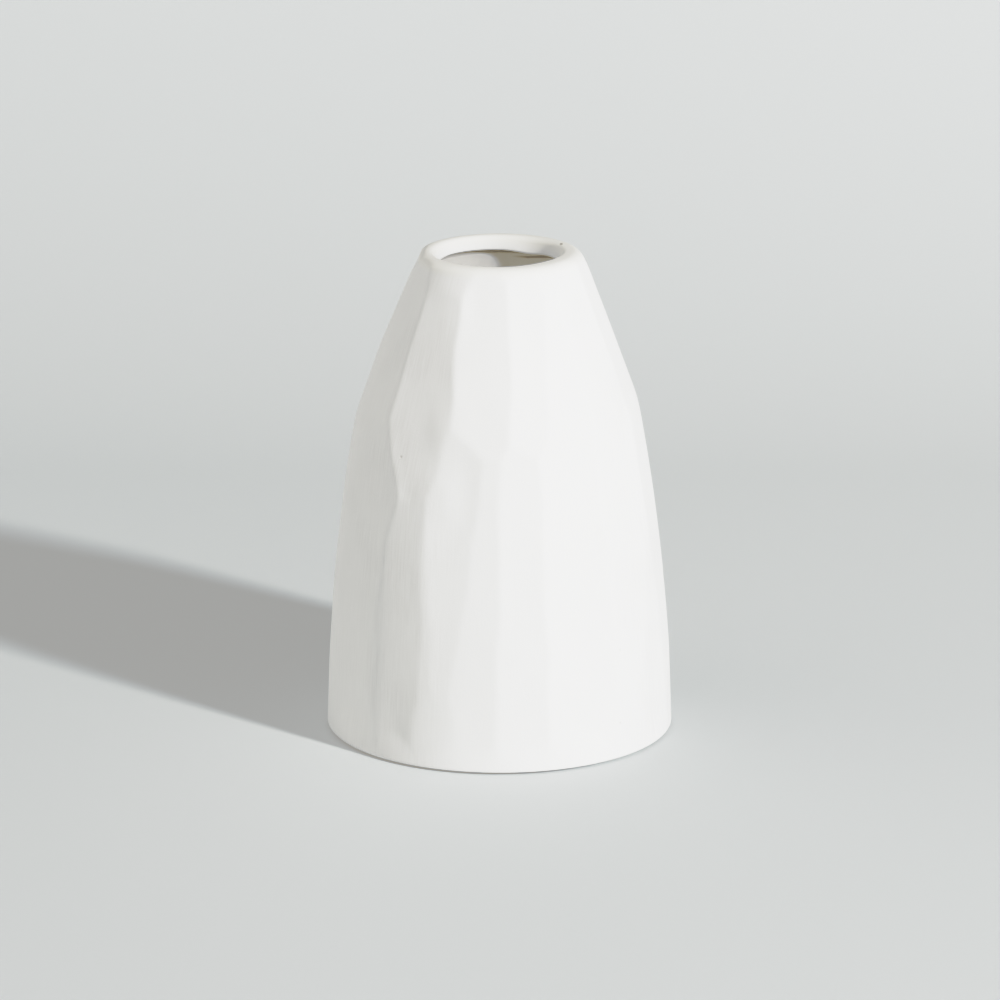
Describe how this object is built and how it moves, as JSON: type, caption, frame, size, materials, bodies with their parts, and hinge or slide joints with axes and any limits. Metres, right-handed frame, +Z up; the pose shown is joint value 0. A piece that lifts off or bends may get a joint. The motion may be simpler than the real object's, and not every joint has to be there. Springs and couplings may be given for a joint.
{
  "type": "bud vase",
  "caption": "Small faceted porcelain bud vase, tapering from a wide round foot to a narrow rolled lip, matt outside and glazed inside.",
  "frame": {"origin": "centre of the foot, on the surface that the vase stands on", "axes": "+Z up along the vase's axis, -Y to the front"},
  "size_m": [0.0856, 0.0856, 0.12],
  "materials": {
    "bisque_porcelain": "matt unglazed",
    "liner_glaze": "clear gloss over the body"
  },
  "bodies": {
    "root": {"vase_body": "bisque_porcelain", "liner_glaze": "liner_glaze"}
  },
  "joints": []
}
